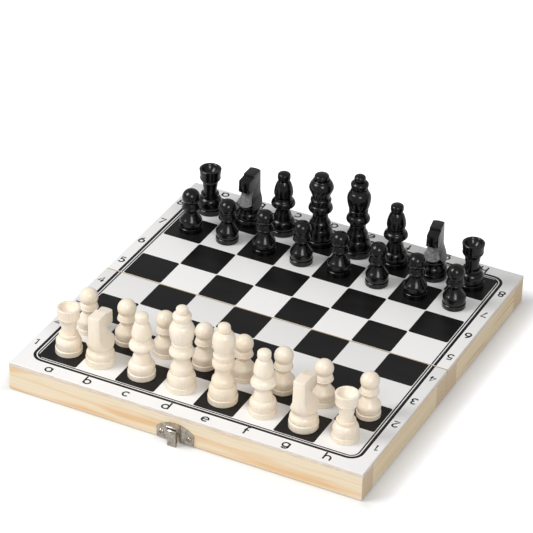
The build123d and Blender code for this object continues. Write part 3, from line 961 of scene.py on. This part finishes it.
BISHOP = Turning(
    8.7,
    (
        Cut(3.3, 8.7), Cut(RIM, 8.4), Cut(0, 8.0), Cut(2.9, 8.3, 0.12), Cut(4.1, 6.5, 0.6),
        Cut(0, 6.1), Cut(1.0, 6.0, 0.15), Cut(3.6, 5.1, 0.1), Cut(0.9, 4.6), Cut(1.2, 4.6),
        Cut(3.4, 7.6, -0.35), Cut(2.2, 7.7, 0.35), Cut(1.5, 6.9, 0.15), Cut(0.2, 6.6),
        Cut(2.2, 5.7, -0.1), Cut(0, 5.4), Cut(3.6, 6.35, 0.25), Cut(6.4, 4.9, 0.25),
        Cut(2.0, 3.7, 0.05), Cut(0, 3.4), Cut(0.5, 3.9, 0.1), Cut(3.3, 4.2, 0.2),
        Cut(1.6, 3.3, 0.35), Cut(0.9, 0, 0.3),
    ),
)
QUEEN_BODY = (
    Cut(3.6, 9.3), Cut(RIM, 9.0), Cut(0, 8.6), Cut(2.6, 8.7, 0.12), Cut(5.4, 7.3, 0.45),
    Cut(0, 6.9), Cut(1.0, 7.2, 0.1), Cut(3.1, 6.8, 0.1), Cut(3.4, 5.15, -0.2), Cut(1.8, 5.15),
)
QUEENS = {
    "black": Turning(
        9.3,
        QUEEN_BODY + (
            Cut(3.8, 7.7, -0.45), Cut(2.2, 7.9, 0.3), Cut(1.8, 7.1, 0.1), Cut(0.2, 6.8),
            Cut(0.9, 6.6, -0.05), Cut(0, 6.4), Cut(3.1, 6.8, 0.2), Cut(0.2, 6.5),
            Cut(1.5, 5.9, -0.1), Cut(0.6, 5.9), Cut(5.0, 7.9, -0.1), Cut(3.0, 7.8, 0.3),
            Cut(2.7, 6.3, 0.2), Cut(0.2, 6.1), Cut(1.1, 5.5, 0.15), Cut(0, 4.5),
            Cut(0.4, 4.75, 0.08), Cut(1.9, 4.85, 0.1), Cut(1.3, 3.7, 0.3), Cut(0.6, 0, 0.15),
        ),
    ),
    "white": Turning(
        9.3,
        QUEEN_BODY + (
            Cut(3.8, 6.6, -0.3), Cut(2.6, 6.9, 0.2), Cut(1.6, 6.5, 0.1), Cut(0.2, 6.3),
            Cut(0.9, 6.2, -0.05), Cut(0, 6.0), Cut(3.1, 6.3, 0.2), Cut(0.2, 6.1),
            Cut(1.5, 5.8, -0.1), Cut(0.6, 5.8), Cut(5.3, 7.0, 0.1), Cut(4.4, 6.8, 0.15),
            Cut(2.6, 5.6, 0.3), Cut(0.2, 5.4), Cut(1.3, 4.4, 0.15), Cut(0, 3.5),
            Cut(0.4, 3.8, 0.05), Cut(2.8, 3.9, 0.25), Cut(1.7, 2.6, 0.4), Cut(0.7, 0, 0.2),
        ),
    ),
}
KING = Turning(
    9.4,
    (
        Cut(3.6, 9.4), Cut(RIM, 9.1), Cut(0, 8.7), Cut(2.6, 8.9, 0.12), Cut(5.2, 7.3, 0.45),
        Cut(0, 6.9), Cut(0.9, 7.1, 0.1), Cut(3.3, 6.7, 0.1), Cut(3.6, 5.2, -0.2), Cut(1.5, 5.2),
        Cut(3.9, 7.5, -0.35), Cut(2.6, 7.5, 0.35), Cut(1.2, 6.9, 0.05), Cut(0.3, 6.6),
        Cut(1.5, 6.25, -0.05), Cut(0, 6.0), Cut(2.6, 6.35, 0.12), Cut(0.3, 6.1),
        Cut(6.6, 7.75, 0.25), Cut(3.2, 7.7, 0.12), Cut(2.9, 6.35, 0.15), Cut(0.2, 6.1),
        Cut(2.3, 5.4, 0.05), Cut(0, 5.1), Cut(3.2, 5.9, 0.1), Cut(1.5, 5.0, 0.25),
        Cut(0.7, 3.8, 0.1), Cut(0, 3.2), Cut(0.4, 3.6, 0.05), Cut(2.1, 3.75, 0.12),
        Cut(1.7, 2.4, 0.4), Cut(0.6, 0, 0.12),
    ),
)


class Lathe:
    """Turns outlines into closed meshes about an upright axis, as a wood turner does."""

    arc_step_mm = 0.55
    rounds = 72

    def __init__(self, piece: MeshPiece, centre: Vector) -> None:
        """Starts at the middle of the foot.

        Args:
            piece: The mesh that takes the turned form.
            centre: The middle of the foot, in metres.
        """
        self.piece = piece
        self.bm = piece.bm
        self.centre = centre
        self.vert = self.bm.verts.new(centre)
        self.here = (0.0, 0.0)

    def at(self, radius: float, height: float) -> Vector:
        """Gives the place of an outline point, from millimetres to metres."""
        return self.centre + Vector((radius * MM, 0, height * MM))

    def straight(self, radius: float, height: float) -> None:
        """Draws a straight stretch of the outline.

        Args:
            radius: The end point's radius, in millimetres.
            height: The end point's height, in millimetres.
        """
        if sqrt((radius - self.here[0]) ** 2 + (height - self.here[1]) ** 2) < 1e-6:
            return
        there = self.bm.verts.new(self.at(radius, height))
        self.bm.edges.new((self.vert, there))
        self.vert, self.here = there, (radius, height)

    def arc(self, centre: tuple[float, float], angle: float, radius: float, height: float) -> None:
        """Draws an arc about a centre by spinning the last point.

        Args:
            centre: The arc's centre, as radius and height in millimetres.
            angle: The turn, in radians about the Y axis.
            radius: The end point's radius.
            height: The end point's height.
        """
        reach = sqrt((self.here[0] - centre[0]) ** 2 + (self.here[1] - centre[1]) ** 2)
        steps = max(3, round(abs(angle) * reach / self.arc_step_mm))
        made = bmesh.ops.spin(
            self.bm,
            geom=[self.vert],
            cent=self.at(*centre),
            axis=(0, 1, 0),
            angle=angle,
            steps=steps,
        )
        self.vert = next(item for item in made["geom_last"] if isinstance(item, Vert))
        self.vert.co = self.at(radius, height)
        self.here = (radius, height)

    def bowed(self, radius: float, height: float, swell: float) -> None:
        """Draws a bowed stretch of the outline.

        Args:
            radius: The end point's radius, in millimetres.
            height: The end point's height, in millimetres.
            swell: How far it bows outwards from its chord, or inwards below zero.
        """
        across, up = radius - self.here[0], height - self.here[1]
        chord = sqrt(across ** 2 + up ** 2)
        sweep = (chord ** 2 / 4 + swell ** 2) / (2 * abs(swell))
        way = 1 if swell > 0 else -1
        back = way * (abs(swell) - sweep)
        middle = ((radius + self.here[0]) / 2, (height + self.here[1]) / 2)
        centre = (middle[0] + back * up / chord, middle[1] - back * across / chord)
        start = atan2(self.here[1] - centre[1], self.here[0] - centre[0])
        end = atan2(height - centre[1], radius - centre[0])
        turn = (end - start + pi) % (2 * pi) - pi
        self.arc(centre, -turn, radius, height)

    def follow(self, turning: Turning) -> None:
        """Draws a whole pattern, from the foot to the crown.

        Args:
            turning: The pattern.
        """
        self.straight(turning.foot - RIM, 0)
        self.straight(turning.foot, RIM)
        for cut in turning.cuts:
            height = self.here[1] + cut.rise
            if cut.swell:
                self.bowed(cut.radius, height, cut.swell)
            else:
                self.straight(cut.radius, height)
        if turning.ball:
            self.ball(turning.ball)
        if turning.hollow:
            self.hollow(*turning.hollow)

    def ball(self, radius: float) -> None:
        """Ends the outline with a ball that sits on the last point.

        Args:
            radius: The ball's radius, in millimetres.
        """
        rise = sqrt(radius ** 2 - self.here[0] ** 2)
        middle = self.here[1] + rise
        self.arc((0, middle), -(pi / 2 + atan2(rise, self.here[0])), 0, middle + radius)

    def hollow(self, radius: float, foot: float, deep: float) -> None:
        """Ends the outline with a conical bowl, whose lip is softened and floor dished.

        Args:
            radius: The bowl's radius at the lip, in millimetres.
            foot: Its radius at the floor.
            deep: Its depth.
        """
        top = self.here[1]
        self.straight(radius + RIM, top)
        self.straight(radius, top - RIM)
        self.bowed(foot, top - deep + RIM, -RIM)
        self.bowed(0, top - deep, -RIM / 4)

    def turn(self) -> None:
        """Spins the outline a full turn and closes its poles."""
        bmesh.ops.spin(
            self.bm,
            geom=self.bm.verts[:] + self.bm.edges[:],
            cent=self.centre,
            axis=(0, 0, 1),
            angle=2 * pi,
            steps=self.rounds,
            use_merge=True,
        )
        bmesh.ops.remove_doubles(self.bm, verts=self.bm.verts, dist=MM / 500)


@dataclass(frozen=True)
class Side:
    """One player's men: their colour word, finishes, material slot and the way they face."""

    colour: str
    finish: bpy.types.Material
    chest: bpy.types.Material
    slot: str
    facing: float


@dataclass
class TurnedMan:
    """A man turned wholly on the lathe."""

    node: str
    side: Side
    turning: Turning

    def build(self) -> None:
        """Turns the man in place of its CAD solid."""
        low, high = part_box(self.node)
        piece = MeshPiece(f"{self.node}_turned")
        lathe = Lathe(piece, Vector(((low.x + high.x) / 2, (low.y + high.y) / 2, low.z)))
        lathe.follow(self.turning)
        lathe.turn()
        piece.finish([self.side.finish], self.node, self.side.slot, [self.node])


def scratch(piece: MeshPiece) -> bpy.types.Object:
    """Makes a helper object of a mesh; it doesn't stay in the scene.

    Args:
        piece: The mesh, which is used up.

    Returns:
        The helper object.
    """
    mesh = bpy.data.meshes.new(piece.name)
    piece.bm.to_mesh(mesh)
    piece.bm.free()
    item = bpy.data.objects.new(piece.name, mesh)
    bpy.context.scene.collection.objects.link(item)
    return item


def worked(
    work: bpy.types.Object, tools: Sequence[bpy.types.Object], ease_mm: float, ease_deg: float
) -> bpy.types.Mesh:
    """Cuts a helper object with others, eases its edges and removes them all.

    Args:
        work: The object that is cut.
        tools: The objects that it is cut with.
        ease_mm: The width of its eased edges.
        ease_deg: Edges that turn by more than this are eased.

    Returns:
        The finished mesh.
    """
    for tool in tools:
        cut = work.modifiers.new("cut", "BOOLEAN")
        cut.operation = "DIFFERENCE"
        cut.solver = "EXACT"
        cut.object = tool
    ease = work.modifiers.new("ease", "BEVEL")
    ease.width = ease_mm * MM
    ease.segments = 2
    ease.limit_method = "ANGLE"
    ease.angle_limit = radians(ease_deg)
    bpy.context.view_layer.update()
    depsgraph = bpy.context.evaluated_depsgraph_get()
    mesh = bpy.data.meshes.new_from_object(work.evaluated_get(depsgraph))
    for item in (work, *tools):
        bpy.data.objects.remove(item)
    return mesh


@dataclass
class Knight:
    """A knight: a turned blank sawn at its cheeks, brow, throat and chest."""

    node: str
    side: Side
    twist: float = 0.0
    blank: Turning = Turning(
        9.2,
        (
            Cut(4.3, 9.2), Cut(RIM, 8.9), Cut(0, 8.5), Cut(3.8, 8.4, 0.4), Cut(2.8, 7.3, -0.3),
            Cut(6.2, 9.15, 0.5), Cut(18.6, 9.0), Cut(RIM, 8.7), Cut(0, 0.0),
        ),
    )
    cheek: Outline = ((4.1, 21.0), (3.7, 38.0), (20.0, 38.0), (20.0, 10.4), (9.6, 10.4))
    cheek_bow: float = 0.3
    cheek_steps: int = 8
    brow: Outline = ((1.4, 40.0), (1.4, 35.3), (9.6, 34.6), (20.0, 34.6), (20.0, 40.0))
    throat: Outline = ((9.6, 26.8), (1.8, 25.2), (9.6, 14.7))
    saw_reach_mm: float = 20.0
    ease_mm: float = 0.3
    ease_deg: float = 32.0
    chest_match: float = 0.995

    def build(self) -> None:
        """Turns the blank, saws it and eases its new edges."""
        low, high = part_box(self.node)
        centre = Vector(((low.x + high.x) / 2, (low.y + high.y) / 2, low.z))
        piece = MeshPiece(f"{self.node}_blank")
        lathe = Lathe(piece, centre)
        lathe.follow(self.blank)
        lathe.turn()
        bmesh.ops.recalc_face_normals(piece.bm, faces=piece.bm.faces)
        work = scratch(piece)
        saws = [self.saw(self.brow, False, centre), self.saw(self.throat, False, centre)]
        saws += [self.saw(self.cheek, True, centre, way) for way in (-1, 1)]
        mesh = worked(work, saws, self.ease_mm, self.ease_deg)
        mesh.materials.clear()
        finishes = [self.side.finish, self.side.chest]
        dress(mesh, f"{self.node}_carved", finishes, self.node, self.side.slot, [self.node])
        self.mark_chest(mesh, centre)

    def saw(
        self, outline: Outline, across: bool, centre: Vector, way: int = 1
    ) -> bpy.types.Object:
        """Makes the block of wood that a saw cut takes away.

        Args:
            outline: Points in millimetres: forward or aside, and up.
            across: Whether the outline lies across the man and is swept from back to front.
            centre: The middle of the man's foot.
            way: The side that an outline across the man lies on.

        Returns:
            The helper object for the cut.
        """
        reach = self.saw_reach_mm * MM
        piece = MeshPiece("saw")
        verts = []
        for out, up in outline:
            place = (-reach, way * out * MM, up * MM) if across else (out * MM, -reach, up * MM)
            verts.append(piece.bm.verts.new(place))
        if across:
            verts += self.cheek_arc(piece, verts[-1], verts[0], way)
        face = piece.bm.faces.new(verts)
        made = bmesh.ops.extrude_face_region(piece.bm, geom=[face])
        moved = [item for item in made["geom"] if isinstance(item, Vert)]
        sweep = (2 * reach, 0, 0) if across else (0, 2 * reach, 0)
        bmesh.ops.translate(piece.bm, vec=sweep, verts=moved)
        bmesh.ops.recalc_face_normals(piece.bm, faces=piece.bm.faces)
        turn = Matrix.Rotation(self.side.facing + self.twist, 4, "Z")
        placing = Matrix.Translation(centre) @ turn
        bmesh.ops.transform(piece.bm, matrix=placing, verts=piece.bm.verts)
        return scratch(piece)

    def cheek_arc(self, piece: MeshPiece, start: Vert, end: Vert, way: int) -> list[Vert]:
        """Adds the points of the curve that runs a cheek out into the blank.

        Args:
            piece: The saw's mesh.
            start: The point that the curve leaves.
            end: The point that it comes to.
            way: The side that the cheek lies on.

        Returns:
            The points between the two, in order.
        """
        points = []
        for step in range(1, self.cheek_steps):
            share = step / self.cheek_steps
            place = start.co.lerp(end.co, share)
            bow = self.cheek_bow * MM * 4 * share * (1 - share)
            slope = (end.co - start.co).normalized()
            place += Vector((0, -slope.z, slope.y)) * bow * way
            points.append(piece.bm.verts.new(place))
        return points

    def mark_chest(self, mesh: bpy.types.Mesh, centre: Vector) -> None:
        """Gives the sloping chest facet the second material.

        Args:
            mesh: The finished knight.
            centre: The middle of the man's foot.
        """
        ahead = Vector((cos(self.side.facing + self.twist), sin(self.side.facing + self.twist), 0))
        (near, high), (far, low) = self.throat[1:]
        normal = (ahead * (high - low) + Vector((0, 0, far - near))).normalized()
        for polygon in mesh.polygons:
            height = (polygon.center.z - centre.z) / MM
            facing = polygon.normal.dot(normal)
            polygon.material_index = int(facing > self.chest_match and low < height < high)


@dataclass
class ChessSet:
    """All thirty-two men."""

    sides: tuple[Side, ...]
    black_g_twist: float = radians(10)

    def build(self) -> None:
        """Builds every man of both sides."""
        for side in self.sides:
            for letter in "abcdefgh":
                TurnedMan(f"{side.colour}_pawn_{letter}", side, PAWN).build()
            for letter in "ah":
                TurnedMan(f"{side.colour}_rook_{letter}", side, ROOK).build()
            for letter in "cf":
                TurnedMan(f"{side.colour}_bishop_{letter}", side, BISHOP).build()
            TurnedMan(f"{side.colour}_queen", side, QUEENS[side.colour]).build()
            TurnedMan(f"{side.colour}_king", side, KING).build()
            for letter in "bg":
                node = f"{side.colour}_knight_{letter}"
                twist = self.black_g_twist if node == "black_knight_g" else 0.0
                Knight(node, side, twist).build()


@dataclass
class Fittings:
    """The nickel-plated hinges, latch, catch and screws."""

    finish: bpy.types.Material
    slot: str = "nickel_plate"
    recess_half_mm: float = 1.15
    recess_thin_mm: float = 0.26
    recess_deep_mm: float = 0.6
    ease_deg: float = 40.0

    def build(self) -> None:
        """Dresses the hidden fittings and reworks the ones that show."""
        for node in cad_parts:
            if any(word in node for word in ("hinge", "clasp", "catch")):
                dress_node(node, self.finish)
        self.rework("clasp_plate", "front_case", 0.2)
        self.rework("clasp_tongue", "clasp_tongue", 0.3)
        self.rework("catch_plate", "back_case", 0.15)
        self.rework("clasp_screws", "front_case", 0.08, self.recesses("clasp_screws", -1))
        self.rework("catch_screws", "back_case", 0.08, self.recesses("catch_screws", 1))

    def rework(
        self, node: str, body: str, ease_mm: float, tools: Sequence[bpy.types.Object] = ()
    ) -> None:
        """Replaces a pressed fitting by a copy whose edges are eased by the tumbling barrel.

        Args:
            node: The CAD node that the copy stands for.
            body: The body that it rides on.
            ease_mm: The width of its eased edges.
            tools: Objects that are cut from it.
        """
        piece = MeshPiece(f"{node}_tumbled")
        piece.bm.from_mesh(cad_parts[node].data)
        bmesh.ops.remove_doubles(piece.bm, verts=piece.bm.verts, dist=MM / 1000)
        bmesh.ops.dissolve_limit(
            piece.bm, angle_limit=radians(1), verts=piece.bm.verts, edges=piece.bm.edges
        )
        name = piece.name
        mesh = worked(scratch(piece), tools, ease_mm, self.ease_deg)
        mesh.materials.clear()
        dress(mesh, name, [self.finish], body, self.slot, [node])

    def recesses(self, node: str, side: int) -> list[bpy.types.Object]:
        """Makes the cutters of the cross recesses in two pan heads.

        Args:
            node: The screws' CAD node.
            side: Which way along Y the heads look.

        Returns:
            Two crossed blocks for each head.
        """
        low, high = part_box(node)
        crown = low.y if side < 0 else high.y
        radius = (high.z - low.z) / 2
        near, far = sorted((crown + side * MM, crown - side * self.recess_deep_mm * MM))
        wide, thin = self.recess_half_mm * MM, self.recess_thin_mm * MM
        cutters = []
        for x in (low.x + radius, high.x - radius):
            for across, up in ((wide, thin), (thin, wide)):
                cutter = MeshPiece("recess")
                z = low.z + radius
                cutter.slab((x - across, near, z - up), (x + across, far, z + up))
                cutters.append(scratch(cutter))
        return cutters


@dataclass
class Studio:
    """The white table, the soft lamps and the camera."""

    floor_z: float = -0.0008
    floor_wide: float = 6.0
    floor_tone_mm: Triple = (40.0, 40.0, 40.0)
    floor_grey: tuple[str, str] = ("#DFDFDF", "#E2E2E2")
    aim: Triple = (0.0, 0.0, 0.02)
    room: float = 0.42
    # painted shadow: the floor's glow to the camera is weakest near the board's edges and rises across
    # this band
    painted_shadow_band_mm: tuple[float, float] = (120.0, 146.0)
    painted_shadow_glow_share: tuple[float, float] = (0.06, 0.65)
    lens_mm: float = 200.2
    sensor_mm: float = 36.0
    camera_at: Triple = (0.67292, -1.39865, 1.05384)
    right: Triple = (0.89257395, 0.45025245, 0.0241758)
    down: Triple = (0.26158803, -0.47340611, -0.84110544)
    forward: Triple = (-0.36726481, 0.75707291, -0.54033061)

    def build(self) -> None:
        """Builds the whole setting."""
        self.floor()
        self.world()
        self.lamp("key_softbox", (-1.2, -0.9, 1.5), 0.95, 25.5)
        self.lamp("side_softbox", (1.1, -1.4, 1.4), 0.8, 15.0)
        self.camera()
        bpy.context.scene.view_settings.view_transform = "Standard"

    def floor(self) -> None:
        """Lays a white table that keeps the object's shadow and shows as white to the camera, with a
        painted shadow: its glow to the camera is weak close to the board's edges and rises further
        out, so a grey band rings the board.
        """
        bm = bmesh.new()
        bmesh.ops.create_grid(bm, x_segments=1, y_segments=1, size=self.floor_wide)
        bmesh.ops.translate(bm, vec=(0, 0, self.floor_z), verts=bm.verts)
        mesh = bpy.data.meshes.new("table")
        bm.to_mesh(mesh)
        bm.free()
        table = bpy.data.objects.new("table", mesh)
        bpy.context.scene.collection.objects.link(table)
        surface = Surface("white_paper_sweep")
        add, space = surface.add, surface.space
        broad = add("ShaderNodeMapping", {"Vector": space, "Scale": per(self.floor_tone_mm)})
        grain = add("ShaderNodeTexNoise", {**NOISE, "Vector": broad, "Detail": 1.0})
        light, lighter = (hex_colour(code) for code in self.floor_grey)
        colour = add("ShaderNodeMix", {0: grain, 6: light, 7: lighter}, 2, data_type="RGBA")
        # painted shadow: the glow is cut near the board's edges, measured along X or Y, so the floor
        # reads grey there
        across = add("ShaderNodeSeparateXYZ", (space,), "X")
        along = add("ShaderNodeSeparateXYZ", (space,), "Y")
        across = add("ShaderNodeMath", (across,), operation="ABSOLUTE")
        along = add("ShaderNodeMath", (along,), operation="ABSOLUTE")
        out = add("ShaderNodeMath", (across, along), operation="MAXIMUM")
        fade = add("ShaderNodeMapRange", (out, *self.painted_shadow_band_mm, *self.painted_shadow_glow_share))
        seen = add("ShaderNodeLightPath", output="Is Camera Ray")
        mesh.materials.append(surface.shaded({
            "Base Color": colour,
            "Roughness": 0.9,
            "Specular IOR Level": 0.1,
            "Emission Color": (1, 1, 1, 1),
            "Emission Strength": add("ShaderNodeMath", (seen, fade), operation="MULTIPLY"),
        }))

    def world(self) -> None:
        """Sets an even white room, which shows as white to the camera."""
        world = bpy.data.worlds.new("white_room")
        bpy.context.scene.world = world
        world.use_nodes = True
        tree = world.node_tree
        tree.nodes.clear()
        rays = add_node(tree, "ShaderNodeLightPath").outputs["Is Camera Ray"]
        seen = add_node(tree, "ShaderNodeMath", (rays, self.room), operation="MAXIMUM").outputs[0]
        sky = {"Color": (1, 1, 1, 1), "Strength": seen}
        background = add_node(tree, "ShaderNodeBackground", sky).outputs[0]
        add_node(tree, "ShaderNodeOutputWorld", {"Surface": background})

    def lamp(self, name: str, place: Triple, size: float, watts: float) -> None:
        """Adds a square softbox aimed at the middle of the board.

        Args:
            name: The lamp's name.
            place: Where it hangs, in metres.
            size: The length of its side, in metres.
            watts: Its power.
        """
        data = bpy.data.lights.new(name, "AREA")
        data.size = size
        data.energy = watts
        lamp = bpy.data.objects.new(name, data)
        bpy.context.scene.collection.objects.link(lamp)
        lamp.location = place
        beam = Vector(self.aim) - Vector(place)
        lamp.rotation_euler = beam.to_track_quat("-Z", "Y").to_euler()

    def camera(self) -> None:
        """Sets the camera at the photograph's place, from the fitted directions of its axes."""
        data = bpy.data.cameras.new("camera")
        data.lens = self.lens_mm
        data.sensor_width = self.sensor_mm
        data.sensor_fit = "HORIZONTAL"
        data.clip_end = 20.0
        camera = bpy.data.objects.new("camera", data)
        bpy.context.scene.collection.objects.link(camera)
        axes = Matrix((self.right, -Vector(self.down), -Vector(self.forward))).transposed()
        camera.matrix_world = Matrix.Translation(self.camera_at) @ axes.to_4x4()
        bpy.context.scene.camera = camera


def main() -> None:
    """Builds the studio, the case, the fittings and the men, and logs each piece."""
    logging.basicConfig(level=logging.INFO, format="%(name)s %(message)s")
    Studio().build()
    panel_low, panel_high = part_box("front_panel")
    panel = LacqueredPanel(panel_high.z / MM, panel_low.z / MM).build()
    ink = ScreenPrint().build()
    long_front = PlanedPine(
        "pine_front_rail",
        Grain.ALONG_X,
        (0.0, 0.0, 0.0),
        sapwood="#F2E2C6",
        latewood="#E8D2AA",
        heartwood="#E9BE8A",
        streak_mm=(75.0, 12.0, 5.5),
        streak_from=0.46,
        ring_most=0.2,
        streak_most=0.85,
    ).build()
    long_back = PlanedPine("pine_back_rail", Grain.ALONG_X, (3.0, 1.0, 2.0)).build()
    inner = PlanedPine("pine_inner_rails", Grain.ALONG_X, (7.0, 2.0, 5.0)).build()
    left = PlanedPine("pine_left_rails", Grain.ALONG_Y, (5.0, 4.0, 1.0)).build()
    right_front = PlanedPine(
        "pine_front_right_rail",
        Grain.ALONG_Y,
        (2.0, 6.0, 4.0),
        ring_most=0.25,
        streak_most=0.4,
    ).build()
    right_back = PlanedPine(
        "pine_back_right_rail",
        Grain.ALONG_Y,
        (9.0, 3.0, 7.0),
        heartwood="#CF9A5E",
        streak_mm=(90.0, 9.0, 3.2),
        ring_most=0.6,
        streak_most=0.9,
    ).build()
    for half, long_rail, right in (
        (Half.FRONT, long_front, right_front),
        (Half.BACK, long_back, right_back),
    ):
        CaseHalf(half, Field(), panel, ink, long_rail, inner, left, right).build()
    Fittings(NickelPlate().build()).build()
    beech = VarnishedBeech().build()
    black = BlackLacquer().build()
    white_side = Side("white", beech, beech, "pale_lacquer", pi / 2)
    # the black knights' chests take painted light as their second finish
    black_side = Side("black", black, EndGrainWithPaintedSkyLight().build(), "black_lacquer", -pi / 2)
    ChessSet((white_side, black_side)).build()


if __name__ == "__main__":
    main()
